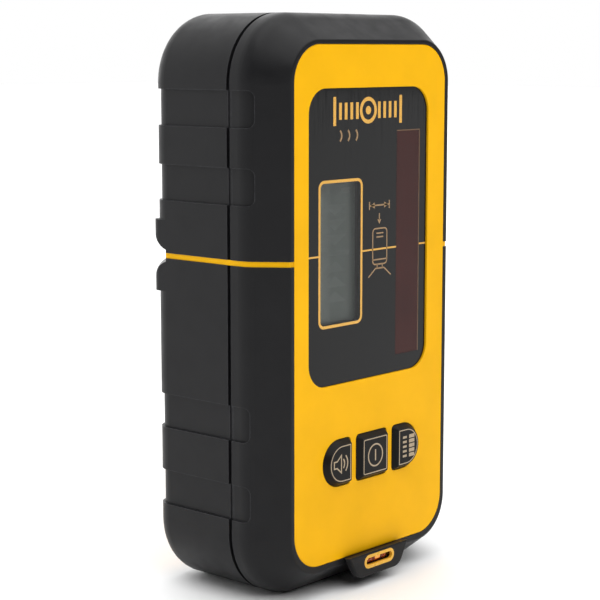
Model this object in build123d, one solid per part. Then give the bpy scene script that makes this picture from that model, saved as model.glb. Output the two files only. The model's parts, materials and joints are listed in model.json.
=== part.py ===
from build123d import *
import os
from math import hypot, sqrt

# Handheld laser line detector. Millimetres. It stands upright on its flat base:
# +Z is up, the display faces -Y, and the origin is the middle of the base of its bounding box.

# ---------------------------------------------------------------- driving dimensions
case_width = 87.4
case_height = 169.0
case_depth = 48.0          # front face to back face
case_corner = 20.0         # corner radius of the outline seen from the front
chamfer_across = 7.75      # front chamfer, measured across the front face
chamfer_along = 10.2       # front chamfer, measured along the depth
shoulder_radius = 8.0      # blend between the chamfer and the side
back_edge = 6.0            # rounding of the back edges
seam_depth = 16.4          # front face to the joint between the two shells

grip_skin = 1.8            # thickness of the rubber over the housings
wall = 2.2                 # thickness of the housings under the rubber
snug = 0.05                # clearance of pieces that are seated in each other
loose = 0.3                # clearance of pieces that move past each other
root = 1.0                 # how far posts and walls reach into the wall that carries them
over = 1.0                 # how far cuts run past the faces they open

# front panel: the bare face of the front housing, framed by rubber
panel_side = 9.25          # case side to panel edge
panel_top = 8.8            # case top to panel edge
panel_foot = 9.6           # base to panel edge
panel_corner = 11.0
panel_edge = 0.5           # softened edge

# rear panel: the bare face of the rear housing
rear_panel_margin = 10.2
rear_panel_corner = 9.0

# rubber details
seam_width = 1.3
seam_groove = 1.1
line_width = 1.6           # reference groove that shows the housing through the rubber
line_sunk = 0.35           # rubber surface down to the housing's rib in the groove
band_recess = 0.8
bands = (                  # above the reference groove, height, and the depth where each starts
    (17.0, 10.4, 8.0),
    (38.6, 10.4, 8.0),
    (-50.3, 10.1, 9.4),
    (-73.6, 10.4, 9.4),
)
band_corner = 2.0
band_reach = 7.0           # how far a band wraps onto the back face
rim_edge = 0.9
notch_pad = 21.0           # height of the marking pads on the back corners
notch_pad_edge = 3.0       # their sharper back edge
notch_mouth = 12.6
notch_round = 5.0
notch_deep = 3.0
pad_start = 5.0            # seam to the marking pads

# keys
key_height = 39.0          # base to the centre of the row of keys
key_tall = 14.26           # openings in the panel
key_wide = 14.56
side_key_wide = 12.66
key_gap = 2.26
key_corner = 1.5
key_proud = 1.6
key_bevel = 1.2
key_travel = 0.8
key_flange = 0.9
key_flange_thick = 1.0
key_clearance = 0.25
key_stem = 2.0
key_stem_proud = 1.1
stem_gap = 0.1             # a pressed key's stem to the membrane

# display window
window_left = 6.05         # panel side to window side
window_right = 8.25
window_above_keys = 16.17
window_drop = 21.2         # case top to window top
window_corner = 7.3
window_sunk = 0.6
window_thick = 1.5
window_ledge = 2.0
adhesive_thick = 0.2
line_drop = 5.85           # window centre down to the reference groove

# display
lcd_left = 5.7             # window side to the clear opening
lcd_wide = 17.9
lcd_tall = 41.0
lcd_rise = 1.3             # reference groove up to the display centre
lcd_corner = 1.4
lcd_lip = 0.7              # window plate to the display glass
lcd_thick = 2.4
lcd_border = 1.2
frame_wall = 1.4
connector_tall = 3.0
smallest_corner = 0.4

# sensor
sensor_right = 3.7
sensor_wide = 10.8
sensor_low = 5.2
sensor_high = 13.0
sensor_corner = 0.8
sensor_board_depth = 7.0
sensor_board_thick = 1.2
diode_count = 14
diode_wide = 6.0
diode_fill = 0.72          # share of their pitch
diode_thick = 1.0

# circuit board
board_depth = 9.5          # front face to the front of the board
board_thick = 1.6
board_side = 17.2
board_top = 14.0
board_corner = 2.0
board_margin = 3.8         # lower screws to the board's foot
chips = (                  # across, below the board's top, width, height, thickness
    (-14.0, 24.0, 12.0, 12.0, 1.6),
    (13.0, 22.0, 6.0, 9.0, 1.5),
    (13.0, 38.0, 6.0, 9.0, 1.5),
    (-14.0, 42.0, 4.0, 10.0, 3.0),
)
capacitors = ((20.0, 30.0), (-21.0, 40.0), (-21.0, 48.0))  # across, below the board's top
capacitor_radius = 2.5
capacitor_tall = 5.5
switch_size = 6.0
switch_thick = 1.2
membrane_thick = 0.8
membrane_wall = 1.5
seal_corner = 3.0

# screws
post_side = 13.0           # case side to each case screw
post_inset = 14.0          # base or top to each case screw
post_radius = 3.5
rear_post_wall = 1.0       # how much thicker the rear posts are
well_clearance = 0.4
pilot_spare = 0.5          # screw holes past the screws' ends
case_screw_radius = 1.45
case_screw_reach = 11.0
case_screw_head = 2.9
case_screw_head_tall = 2.2
screw_seat = 4.0           # seam to the seat of the screw head
board_screw_radius = 0.95
board_screw_head = 1.9
board_screw_head_tall = 1.3
board_screw_long = 4.5
board_post_radius = 2.5
board_screw_hole = 0.15    # clearance in the board
board_post_gap = 0.87      # keypad seal to the lower posts
low_screw_inset = 4.5      # board side to the lower and the upper screws
high_screw_inset = 6.5
high_screw_drop = 3.5
cross_long = 1.1           # a screw head's cross, as shares of the head's radius
cross_wide = 0.3
cross_start = 0.4          # share of the head's height

# spirit vial on the nose below the panel
nose_proud = 3.4
nose_plate = 2.0
nose_top_half = 13.8
nose_foot_half = 9.8
nose_foot = 3.1
nose_rise = 0.7
nose_corner = 4.2
nose_edge = 0.5
nose_root_depth = 4.5
nose_root_scale = 0.62
vial_rise = 7.5
vial_window_long = 14.0
vial_window_tall = 4.2
vial_bezel_wide = 1.0
vial_bezel_thick = 0.9
vial_radius = 1.7
vial_wall = 0.35
vial_long = 12.6
vial_ring = 0.1
vial_ring_wide = 0.25
vial_ring_place = 1.8
bubble_radius = 0.8
bubble_rise = 0.68
bubble_long = 3.0

# battery bay in the back
battery_wide = 26.5
battery_thick = 17.5
battery_tall = 45.6
battery_edge = 2.0
terminal_tall = 2.9
terminal_spacing = 12.7
terminal_small = 2.8
terminal_large = 4.0
bay_gap = 0.6
bay_wall = 1.6
bay_foot = 13.5
bay_headroom = 8.1
snap_tall = 4.5
snap_lift = 0.2
snap_trim_wide = 1.5       # battery's width less the snap's
snap_trim_thick = 5.0
snap_corner = 3.0
foam_thick = 1.2
foam_margin = 5.0
foam_corner = 1.0
bay_floor_gap = 0.4
door_thick = 2.2
door_lap = 3.1
door_foot_lap = 2.5
door_corner = 1.6
door_edge = 0.4
door_seat_gap = 0.1
hinge_radius = 2.6
hinge_pin_radius = 1.0
hinge_clearance = 0.06
hinge_pin_bite = 2.5
hinge_pin_spare = 0.1
door_shoulder = 8.0
door_shoulder_gap = 0.6    # the shoulder swings up past the housing as the door opens
door_neck = 3.0
rib_count = 3
rib_first = 4.0
rib_pitch = 2.4
rib_long = 12.0
rib_wide = 1.0
rib_deep = 0.5
tab_wide = 12.0
tab_thick = 1.4
tab_reach = 3.2
lead_radius = 0.65
lead_bend = 2.6
lead_rise = 0.4
lead_spacing = 7.0
lead_slot_wide = 11.0
lead_slot_tall = 3.0

# back face fittings
insert_radius = 4.6
insert_bore = 2.55         # tapping size of a 1/4 inch, 20 thread
insert_long = 9.0
insert_spare = 1.5         # depth of the pocket behind the insert
insert_wall = 2.0
insert_floor = 3.0
locating_hole = 2.0
locating_deep = 3.0
locating_spacing = 32.0
buzzer_drop = 37.0
buzzer_radius = 12.0
buzzer_thick = 7.0
buzzer_pad = 1.0
buzzer_pad_wide = 2.5
buzzer_fit = 0.2
buzzer_wall_thick = 1.4
buzzer_wall_deep = 6.0
buzzer_lead_spacing = 7.6
buzzer_lead_step = 6.0
buzzer_lead_bend = 3.0
slot_count = 5
slot_tall = 13.0
slot_step = 2.0            # how much shorter each slot is than the one inside it
slot_wide = 1.6
slot_pitch = 3.4

# seal between the shells
gasket_wide = 1.0
gasket_deep = 1.2

# ---------------------------------------------------------------- places worked out from them
total_depth = case_depth + nose_proud
front_y = nose_proud - total_depth / 2
half_width = case_width / 2
inner_skin = grip_skin + wall
panel_half = half_width - panel_side
window_x0 = -panel_half + window_left
window_x1 = panel_half - window_right
window_z0 = key_height + key_tall / 2 + window_above_keys
window_z1 = case_height - window_drop
line_z = (window_z0 + window_z1) / 2 - line_drop
lcd_x0 = window_x0 + lcd_left
lcd_x1 = lcd_x0 + lcd_wide
lcd_z0 = line_z + lcd_rise - lcd_tall / 2
lcd_z1 = lcd_z0 + lcd_tall
sensor_x1 = window_x1 - sensor_right
sensor_x0 = sensor_x1 - sensor_wide
sensor_z0 = window_z0 + sensor_low
sensor_z1 = window_z1 - sensor_high
window_back = window_sunk + window_thick
lcd_depth = window_back + lcd_lip
vial_depth = vial_bezel_thick - nose_proud + vial_radius + vial_ring + snug
board_half = half_width - board_side
board_back = board_depth + board_thick
flange_depth = inner_skin + loose
stem_depth = flange_depth + key_flange_thick + key_stem_proud
membrane_depth = stem_depth + key_travel + stem_gap
seal_tall = key_tall / 2 + key_flange + loose + membrane_wall
seal_half = key_wide / 2 + key_gap + side_key_wide + key_flange + loose + membrane_wall
side_key_place = key_wide / 2 + key_gap + side_key_wide / 2
low_screw_height = key_height - seal_tall - board_post_radius - board_post_gap
board_foot = low_screw_height - board_margin
board_head = case_height - board_top
bay_half = battery_wide / 2 + bay_gap
battery_back = case_depth - door_thick - foam_thick - loose
battery_front = battery_back - battery_thick
battery_mid = (battery_front + battery_back) / 2
battery_foot = bay_foot + tab_thick + 2 * loose
battery_top = battery_foot + battery_tall
bay_front = battery_front - bay_floor_gap
bay_top = battery_top + terminal_tall + bay_headroom
snap_foot = battery_top + snap_lift
lead_height = snap_foot + snap_tall + lead_bend + lead_rise
hinge_z = bay_top - hinge_radius - loose
hinge_depth = case_depth - hinge_radius
buzzer_z = case_height - buzzer_drop
sides = (-1, 1)
post_places = [
    (side * (half_width - post_side), height)
    for side in sides
    for height in (post_inset, case_height - post_inset)
]
board_screw_places = [
    (side * (board_half - inset), height)
    for side in sides
    for inset, height in (
        (low_screw_inset, low_screw_height),
        (high_screw_inset, board_head - high_screw_drop),
    )
]


# ---------------------------------------------------------------- drawing helpers
def slab(sketch, shallow, deep):
    """A front-view sketch (x across, z up) filled between two depths behind the front face."""
    plane = Plane((0, front_y + deep, 0), x_dir=(1, 0, 0), z_dir=(0, -1, 0))
    return extrude(plane * sketch, deep - shallow)


def box_sketch(x0, x1, z0, z1, corner=0.0):
    """A rectangle between two corners, with rounded corners where a radius is given."""
    place = Pos((x0 + x1) / 2, (z0 + z1) / 2)
    if corner > 0:
        return place * RectangleRounded(x1 - x0, z1 - z0, corner)
    return place * Rectangle(x1 - x0, z1 - z0)


def disc(x, z, radius):
    return Pos(x, z) * Circle(radius)


def bar(radius, length, depth, z, x=0.0):
    """A round bar along x."""
    return Pos(x, front_y + depth, z) * Rot(0, 90, 0) * Cylinder(radius, length)


def side_prism(points, half):
    """A closed outline of (depth, z) points, filled across x from -half to half."""
    outline = Polyline(*[(front_y + depth, z) for depth, z in points], close=True)
    return extrude(Plane.YZ * make_face(outline), half, both=True)


def half_case(is_front):
    """Everything on one side of the joint between the shells."""
    reach = case_width + case_height
    span = (-reach, seam_depth) if is_front else (seam_depth, reach)
    return slab(box_sketch(-reach, reach, -reach, reach), *span)


# ---------------------------------------------------------------- the case's shape
def chamfer_lengths(inset):
    """The front chamfer's two lengths once the surface has moved inwards by inset."""
    across, along = 1 / chamfer_across, 1 / chamfer_along
    keep = 1 + inset * (hypot(across, along) - across - along)
    return keep * chamfer_across, keep * chamfer_along


def case_shape(inset, edge=back_edge):
    """The whole case, with every surface moved inwards by inset."""
    outline = box_sketch(
        inset - half_width, half_width - inset, inset, case_height - inset, case_corner - inset
    )
    block = slab(outline, inset, case_depth - inset)
    block = fillet(block.faces().sort_by(Axis.Y)[-1].edges(), edge - inset)
    face = block.faces().sort_by(Axis.Y)[0]
    across, along = chamfer_lengths(inset)
    block = chamfer(face.edges(), across, along, reference=face)
    shoulder = front_y + inset + along
    ring = block.edges().filter_by_position(Axis.Y, shoulder - 0.01, shoulder + 0.01)
    return fillet(ring, shoulder_radius - inset)


def panel_sketch():
    return box_sketch(-panel_half, panel_half, panel_foot, case_height - panel_top, panel_corner)


def rear_panel_sketch():
    half = half_width - rear_panel_margin
    return box_sketch(-half, half, rear_panel_margin, case_height - rear_panel_margin, rear_panel_corner)


def front_panel():
    pad = slab(panel_sketch(), 0, grip_skin + wall / 2)
    return fillet(pad.faces().sort_by(Axis.Y)[0].edges(), panel_edge)


def rear_panel():
    return slab(rear_panel_sketch(), case_depth - grip_skin - wall / 2, case_depth)


core = case_shape(grip_skin)
cavity = case_shape(inner_skin)


# ---------------------------------------------------------------- rubber grips
def grip_bands():
    """The recessed bands round each side, as blocks that stop at the recess depth."""
    blocks = []
    end = case_depth + over
    for above_line, tall, start in bands:
        z0 = line_z + above_line - band_recess
        block = side_prism([(start, z0), (end, z0), (end, z0 + tall), (start, z0 + tall)], case_width)
        front_edges = block.edges().filter_by(Axis.X).group_by(Axis.Y)[0]
        blocks.append(fillet(front_edges, band_corner))
    middle = half_width - band_reach
    between = slab(box_sketch(-middle, middle, -over, case_height + over), -over, end + over)
    return Part() + blocks - between - case_shape(band_recess)


def marking_pads():
    """The case with sharper back edges, only at the height of the reference groove."""
    sharp = case_shape(0, notch_pad_edge)
    z0, z1 = line_z - notch_pad / 2, line_z + notch_pad / 2
    return sharp & slab(box_sketch(-half_width, half_width, z0, z1), seam_depth + pad_start, case_depth)


def marking_notch(side):
    """A pencil notch across a back corner, with sides that round over into it."""
    tip = (sqrt(2) - 1) * notch_pad_edge / sqrt(2)
    corner = (side * (half_width - tip), front_y + case_depth - tip, line_z)
    plane = Plane(corner, x_dir=(-side, -1, 0), z_dir=(-side, 1, 0))
    mouth = box_sketch(-over, notch_deep, -notch_mouth / 2, notch_mouth / 2)
    for end in sides:
        mouth -= Pos(notch_round, end * notch_mouth / 2) * Circle(notch_round)
    return extrude(plane * mouth, 2 * back_edge, both=True)


def reference_rib(is_front):
    """The housing's rib that fills the reference groove nearly to the rubber's surface."""
    half = line_width / 2 - snug
    reach = half_width + over
    ring = slab(box_sketch(-reach, reach, line_z - half, line_z + half), -over, case_depth + over)
    ring &= case_shape(line_sunk) & half_case(is_front)
    ring -= slab(panel_sketch(), -over, grip_skin + over) if is_front else rear_panel()
    for side in sides:
        ring -= marking_notch(side)
    return ring - cavity


def grip(is_front, is_upper):
    """One quarter of the rubber skin: front or rear shell, above or below the groove."""
    skin = case_shape(0)
    if is_front:
        rim = skin.faces().sort_by(Axis.Y)[0].edges()
        skin = fillet(rim, rim_edge)
    else:
        skin += marking_pads()
    skin &= half_case(is_front)
    skin -= core
    skin -= slab(panel_sketch(), -over, grip_skin + over) if is_front else rear_panel()
    seam_ring = slab(
        box_sketch(-case_width, case_width, -over, case_height + over),
        seam_depth - seam_width / 2,
        seam_depth + seam_width / 2,
    )
    skin -= seam_ring - case_shape(seam_groove)
    skin -= grip_bands()
    if is_front:
        skin -= nose_shape()
    else:
        for side in sides:
            skin -= marking_notch(side)
    far = 2 * case_height
    if is_upper:
        keep = box_sketch(-far, far, line_z + line_width / 2, far)
    else:
        keep = box_sketch(-far, far, -far, line_z - line_width / 2)
    return skin & slab(keep, -far, far)


# ---------------------------------------------------------------- nose and spirit vial
def nose_outline(scale=1.0):
    """The nose seen from the front: wider at the top, with rounded lower corners."""
    top = panel_foot + nose_rise
    foot = top - (top - nose_foot) * scale
    wide, narrow = nose_top_half * scale, nose_foot_half * scale
    outline = Polyline((wide, top), (-wide, top), (-narrow, foot), (narrow, foot), close=True)
    face = make_face(outline)
    return fillet(face.vertices().group_by(Axis.Y)[0], nose_corner * scale)


def nose_shape():
    """The nose's outside: a plate in front, tapering back into the chamfer."""
    back_of_plate = nose_plate - nose_proud
    plate = slab(nose_outline(), -nose_proud, back_of_plate)
    plate = fillet(plate.faces().sort_by(Axis.Y)[0].edges(), nose_edge)
    ends = []
    for depth, scale in ((back_of_plate, 1.0), (nose_root_depth, nose_root_scale)):
        plane = Plane((0, front_y + depth, 0), x_dir=(1, 0, 0), z_dir=(0, -1, 0))
        ends.append(plane * nose_outline(scale))
    shape = plate + loft(ends)
    top = panel_foot + nose_rise
    far = nose_proud + nose_root_depth
    above = [
        (-far, top), (-nose_proud, top), (0, panel_foot),
        (far, panel_foot), (far, panel_foot + far), (-far, panel_foot + far),
    ]
    return shape - side_prism(above, case_width)


def vial_window(grow=0.0):
    return Pos(0, vial_rise) * SlotOverall(vial_window_long + 2 * grow, vial_window_tall + 2 * grow)


def vial_housing():
    shape = nose_shape() - core
    shape -= slab(vial_window(), -nose_proud - over, vial_bezel_thick - nose_proud)
    shape -= slab(vial_window(-vial_bezel_wide), -nose_proud - over, vial_depth)
    return shape - bar(vial_radius + vial_ring + snug, vial_long + 2 * snug, vial_depth, vial_rise)


def vial_bezel():
    ring = vial_window(-snug) - vial_window(-vial_bezel_wide)
    return slab(ring, -nose_proud, vial_bezel_thick - nose_proud)


def vial_tube():
    outside = bar(vial_radius, vial_long, vial_depth, vial_rise)
    return outside - bar(vial_radius - vial_wall, vial_long - 4 * vial_wall, vial_depth, vial_rise)


def vial_liquid():
    radius = vial_radius - vial_wall
    fill = bar(radius, vial_long - 4 * vial_wall, vial_depth, vial_rise)
    bubble = bar(bubble_radius, bubble_long, vial_depth, vial_rise + bubble_rise)
    return fill - bubble


def vial_rings():
    rings = []
    for side in sides:
        place = side * vial_ring_place
        band = bar(vial_radius + vial_ring, vial_ring_wide, vial_depth, vial_rise, place)
        rings.append(band - bar(vial_radius, 2 * vial_ring_wide, vial_depth, vial_rise, place))
    return Part() + rings


# ---------------------------------------------------------------- keys
def key_sketch(place, grow):
    """A key's outline, grown by a margin. place is -1, 0 or 1 from left to right."""
    tall = key_tall + 2 * grow
    if place == 0:
        width = key_wide + 2 * grow
        return box_sketch(-width / 2, width / 2, key_height - tall / 2, key_height + tall / 2, key_corner)
    inner = key_wide / 2 + key_gap
    straight = side_key_wide - key_tall / 2
    square = box_sketch(inner - grow, inner + straight, key_height - tall / 2, key_height + tall / 2)
    round_end = disc(inner + straight, key_height, tall / 2)
    half_plane = box_sketch(inner + straight, inner + case_width, key_height - tall, key_height + tall)
    round_end &= half_plane
    outline = square + round_end
    corners = outline.vertices().group_by(Axis.X)[0]
    outline = fillet(corners, key_corner)
    return outline if place > 0 else mirror(outline, about=Plane.YZ)


def key(place):
    """A bevelled cap through the panel, a flange behind it and a stem for the membrane."""
    cap = slab(key_sketch(place, -key_clearance), -key_proud, flange_depth)
    face = cap.faces().sort_by(Axis.Y)[0]
    cap = chamfer(face.edges(), key_bevel, key_proud, reference=face)
    flange_end = flange_depth + key_flange_thick
    flange = slab(key_sketch(place, key_flange - key_clearance), flange_depth, flange_end)
    stem = slab(disc(place * side_key_place, key_height, key_stem), flange_depth, stem_depth)
    return cap + flange + stem


def keypad_seal():
    """A rubber skirt round the keys with a web in front of the switches."""
    outlines = []
    for inset in (0, membrane_wall):
        half, tall = seal_half - inset, seal_tall - inset
        outlines.append(box_sketch(-half, half, key_height - tall, key_height + tall, seal_corner - inset))
    outer, inner = outlines
    skirt = slab(outer - inner, inner_skin, board_depth)
    return skirt + slab(inner, membrane_depth, membrane_depth + membrane_thick)


def key_switches():
    pads = []
    for place in (-1, 0, 1):
        x = place * side_key_place
        half = switch_size / 2
        square = box_sketch(x - half, x + half, key_height - half, key_height + half)
        pads.append(slab(square, board_depth - switch_thick, board_depth))
    return Part() + pads


# ---------------------------------------------------------------- window, display and sensor
def window_sketch(grow=0.0):
    return box_sketch(
        window_x0 - grow, window_x1 + grow, window_z0 - grow, window_z1 + grow, window_corner + grow
    )


def lcd_sketch(grow=0.0):
    corner = max(lcd_corner + grow, smallest_corner)
    return box_sketch(lcd_x0 - grow, lcd_x1 + grow, lcd_z0 - grow, lcd_z1 + grow, corner)


def sensor_sketch(grow=0.0):
    return box_sketch(
        sensor_x0 - grow, sensor_x1 + grow, sensor_z0 - grow, sensor_z1 + grow, sensor_corner
    )


def window_opening(gap=0.0):
    """The hole through the panel inside the ledge that the window sits on."""
    inset = window_ledge - gap
    return box_sketch(
        window_x0 + inset, window_x1 - inset, window_z0 + inset, window_z1 - inset, window_ledge
    )


def window_bezel():
    plate = slab(window_sketch(-2 * snug), window_sunk, window_back)
    plate -= slab(lcd_sketch(), 0, window_back + over)
    return plate - slab(sensor_sketch(), 0, window_back + over)


def window_adhesive():
    ring = window_sketch(-4 * snug) - window_opening(-2 * snug)
    return slab(ring, window_back, window_back + adhesive_thick)


def lcd_lens():
    return slab(lcd_sketch(-snug), window_sunk, window_back)


def sensor_filter():
    return slab(sensor_sketch(-snug), window_sunk, window_back)


def lcd_frame():
    outside = slab(lcd_sketch(lcd_border + frame_wall), window_back, board_depth)
    tunnel = slab(lcd_sketch(), window_back - over, lcd_depth)
    return outside - tunnel - slab(lcd_sketch(lcd_border), lcd_depth, board_depth + over)


def lcd_glass():
    return slab(lcd_sketch(lcd_border - snug), lcd_depth, lcd_depth + lcd_thick)


def behind_lcd(z0, z1):
    strip = lcd_sketch(lcd_border - 2 * snug)
    strip &= box_sketch(lcd_x0 - lcd_wide, lcd_x1 + lcd_wide, z0, z1)
    return slab(strip, lcd_depth + lcd_thick, board_depth)


def lcd_reflector():
    return behind_lcd(lcd_z0 + connector_tall + loose, lcd_z1)


def lcd_connector():
    return behind_lcd(lcd_z0, lcd_z0 + connector_tall)


def sensor_frame():
    outside = slab(sensor_sketch(frame_wall), window_back, board_depth)
    return outside - slab(sensor_sketch(), window_back - over, board_depth + over)


def sensor_board():
    return slab(sensor_sketch(-snug), sensor_board_depth, sensor_board_depth + sensor_board_thick)


def photodiodes():
    """A column of sensor chips on the sensor board, evenly spaced."""
    pitch = (sensor_z1 - sensor_z0) / diode_count
    middle = (sensor_x0 + sensor_x1) / 2
    half_wide, half_tall = diode_wide / 2, pitch * diode_fill / 2
    diodes = []
    for step in range(diode_count):
        z = sensor_z0 + pitch * (step + 0.5)
        chip = box_sketch(middle - half_wide, middle + half_wide, z - half_tall, z + half_tall)
        diodes.append(slab(chip, sensor_board_depth - diode_thick, sensor_board_depth))
    return Part() + diodes


# ---------------------------------------------------------------- circuit board
def main_board():
    outline = box_sketch(-board_half, board_half, board_foot, board_head, board_corner)
    board = slab(outline, board_depth, board_back)
    for x, z in board_screw_places:
        hole = disc(x, z, board_screw_radius + board_screw_hole)
        board -= slab(hole, board_depth - over, board_back + over)
    return board


def board_chips():
    """Packages on the back of the board: processor, amplifiers and crystal can."""
    packages = []
    for x, drop, wide, tall, thick in chips:
        outline = Pos(x, board_head - drop) * Rectangle(wide, tall)
        packages.append(slab(outline, board_back, board_back + thick))
    return Part() + packages


def board_capacitors():
    cans = []
    for x, drop in capacitors:
        can = disc(x, board_head - drop, capacitor_radius)
        cans.append(slab(can, board_back, board_back + capacitor_tall))
    return Part() + cans


def screw(x, z, radius, head, head_tall, seat, reach):
    """A cross-head screw along the depth, its head's underside at seat."""
    body = slab(disc(x, z, radius), seat - reach, seat) + slab(disc(x, z, head), seat, seat + head_tall)
    long, wide = head * cross_long, head * cross_wide
    for across, up in ((long, wide), (wide, long)):
        slot = Pos(x, z) * Rectangle(across, up)
        body -= slab(slot, seat + head_tall * cross_start, seat + head_tall + over)
    return body


def case_screws():
    seat = seam_depth + screw_seat
    reach = screw_seat + case_screw_reach
    set_of_screws = [
        screw(x, z, case_screw_radius, case_screw_head, case_screw_head_tall, seat, reach)
        for x, z in post_places
    ]
    return Part() + set_of_screws


def board_screws():
    set_of_screws = [
        screw(x, z, board_screw_radius, board_screw_head, board_screw_head_tall, board_back, board_screw_long)
        for x, z in board_screw_places
    ]
    return Part() + set_of_screws


# ---------------------------------------------------------------- housings
def front_housing():
    shell = (core & half_case(True)) + front_panel() - cavity
    shell += reference_rib(True)
    for x, z in post_places:
        shell += slab(disc(x, z, post_radius), inner_skin - root, seam_depth) & core
    for x, z in board_screw_places:
        shell += slab(disc(x, z, board_post_radius), inner_skin - root, board_depth)
    case_hole_end = seam_depth - case_screw_reach - pilot_spare
    for x, z in post_places:
        shell -= slab(disc(x, z, case_screw_radius + snug), case_hole_end, seam_depth + over)
    board_hole_end = board_back - board_screw_long - pilot_spare
    for x, z in board_screw_places:
        shell -= slab(disc(x, z, board_screw_radius + snug), board_hole_end, board_depth + over)
    shell -= slab(window_sketch(), -over, window_back + adhesive_thick)
    shell -= slab(window_opening(), -over, inner_skin + over)
    for place in (-1, 0, 1):
        shell -= slab(key_sketch(place, 0), -over, inner_skin + over)
    return shell


def bay_sketch(grow=0.0):
    return box_sketch(-bay_half - grow, bay_half + grow, bay_foot - grow, bay_top + grow)


def door_sketch(gap=0.0, shoulder_gap=0.0):
    """The wide part of the door's space, or of the door, which is smaller by these gaps."""
    half = bay_half + door_lap - gap
    top = hinge_z - door_shoulder - shoulder_gap
    return box_sketch(-half, half, bay_foot - door_foot_lap + gap, top, door_corner)


def insert_boss():
    outline = disc(0, line_z, insert_radius + insert_wall)
    return slab(outline, case_depth - insert_long - insert_floor, case_depth - wall)


def buzzer_wall():
    inside = buzzer_radius + buzzer_fit
    ring = disc(0, buzzer_z, inside + buzzer_wall_thick) - disc(0, buzzer_z, inside)
    return slab(ring, case_depth - inner_skin - buzzer_wall_deep, case_depth - grip_skin)


def sound_slots():
    slots = []
    for count in range(slot_count):
        step = count - slot_count // 2
        tall = slot_tall - slot_step * abs(step)
        outline = Pos(step * slot_pitch, buzzer_z) * Rot(0, 0, 90) * SlotOverall(tall, slot_wide)
        slots.append(slab(outline, case_depth - inner_skin - over, case_depth + over))
    return Part() + slots


def gasket_ring(loosen=0.0):
    """The seal's path round the joint, in the middle of the housing wall."""
    middle = grip_skin + wall / 2
    half = gasket_wide / 2 + loosen
    ring = []
    for inset in (middle - half, middle + half):
        ring.append(
            box_sketch(
                inset - half_width, half_width - inset, inset, case_height - inset, case_corner - inset
            )
        )
    return ring[0] - ring[1]


def rear_housing():
    shell = (core & half_case(False)) + rear_panel() - cavity
    shell += reference_rib(False)
    for x, z in post_places:
        shell += slab(disc(x, z, post_radius + rear_post_wall), seam_depth, case_depth - wall) & core
    shell += slab(bay_sketch(bay_wall), bay_front - bay_wall, case_depth - grip_skin)
    shell += insert_boss()
    shell += buzzer_wall()
    for x, z in post_places:
        shell -= slab(disc(x, z, case_screw_radius + 4 * snug), seam_depth - over, case_depth)
        well = disc(x, z, case_screw_head + well_clearance)
        shell -= slab(well, seam_depth + screw_seat, case_depth + over)
    shell -= slab(bay_sketch(), bay_front, case_depth + over)
    shell -= slab(door_sketch(), case_depth - door_thick - door_seat_gap, case_depth + over)
    pin_reach = 2 * (bay_half + hinge_pin_bite)
    shell -= bar(hinge_pin_radius + snug / 5, pin_reach, hinge_depth, hinge_z)
    lead_slot = Pos(0, lead_height) * SlotOverall(lead_slot_wide, lead_slot_tall)
    shell -= slab(lead_slot, bay_front - bay_wall - over, bay_front + over)
    pocket = disc(0, line_z, insert_radius)
    shell -= slab(pocket, case_depth - insert_long - insert_spare, case_depth + over)
    for side in sides:
        hole = disc(side * locating_spacing / 2, line_z, locating_hole)
        shell -= slab(hole, case_depth - locating_deep, case_depth + over)
    shell -= sound_slots()
    return shell - slab(gasket_ring(snug), seam_depth - over, seam_depth + gasket_deep)


def case_gasket():
    return slab(gasket_ring(), seam_depth, seam_depth + gasket_deep)


def threaded_insert():
    body = slab(disc(0, line_z, insert_radius), case_depth - insert_long, case_depth)
    return body - slab(disc(0, line_z, insert_bore), case_depth - insert_long - over, case_depth + over)


# ---------------------------------------------------------------- battery, its lead and its door
def terminal_places():
    return (-terminal_spacing / 2, terminal_small), (terminal_spacing / 2, terminal_large)


def upright_disc(x, radius, z0, z1):
    return Pos(x, front_y + battery_mid, (z0 + z1) / 2) * Cylinder(radius, z1 - z0)


def battery():
    case = Box(battery_wide, battery_thick, battery_tall)
    case = fillet(case.edges().filter_by(Axis.Z), battery_edge)
    case = Pos(0, front_y + battery_mid, battery_foot + battery_tall / 2) * case
    for x, radius in terminal_places():
        case += upright_disc(x, radius, battery_top, battery_top + terminal_tall)
    return case


def battery_snap():
    block = Box(battery_wide - snap_trim_wide, battery_thick - snap_trim_thick, snap_tall)
    block = fillet(block.edges().filter_by(Axis.Z), snap_corner)
    block = Pos(0, front_y + battery_mid, snap_foot + snap_tall / 2) * block
    for x, radius in terminal_places():
        block -= upright_disc(x, radius + snug, snap_foot - over, battery_top + terminal_tall + snug)
    return block


def battery_lead(side):
    """One lead, up out of the snap and forwards to the board."""
    x = side * lead_spacing / 2
    start = (x, front_y + battery_mid, snap_foot + snap_tall)
    bend = (x, front_y + battery_mid, lead_height)
    end = (x, front_y + board_back, lead_height)
    path = FilletPolyline(start, bend, end, radius=lead_bend)
    return sweep(Plane(start, z_dir=(0, 0, 1)) * Circle(lead_radius), path)


def battery_door():
    """A flush door hung on a barrel along its top edge, with a snap tab at its foot."""
    plate = slab(door_sketch(loose, door_shoulder_gap), case_depth - door_thick, case_depth)
    plate = fillet(plate.faces().sort_by(Axis.Y)[-1].edges(), door_edge)
    half = bay_half - loose
    neck_foot = hinge_z - door_shoulder - door_neck
    neck = slab(box_sketch(-half, half, neck_foot, hinge_z), case_depth - door_thick, case_depth)
    door = plate + neck + bar(hinge_radius, 2 * half, hinge_depth, hinge_z)
    tab = box_sketch(-tab_wide / 2, tab_wide / 2, bay_foot + loose, bay_foot + loose + tab_thick)
    door += slab(tab, case_depth - door_thick - tab_reach, case_depth - door_thick)
    for step in range(rib_count):
        groove = Pos(0, bay_foot + rib_first + rib_pitch * step) * SlotOverall(rib_long, rib_wide)
        door -= slab(groove, case_depth - rib_deep, case_depth + over)
    return door - bar(hinge_pin_radius + hinge_clearance, case_width, hinge_depth, hinge_z)


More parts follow.
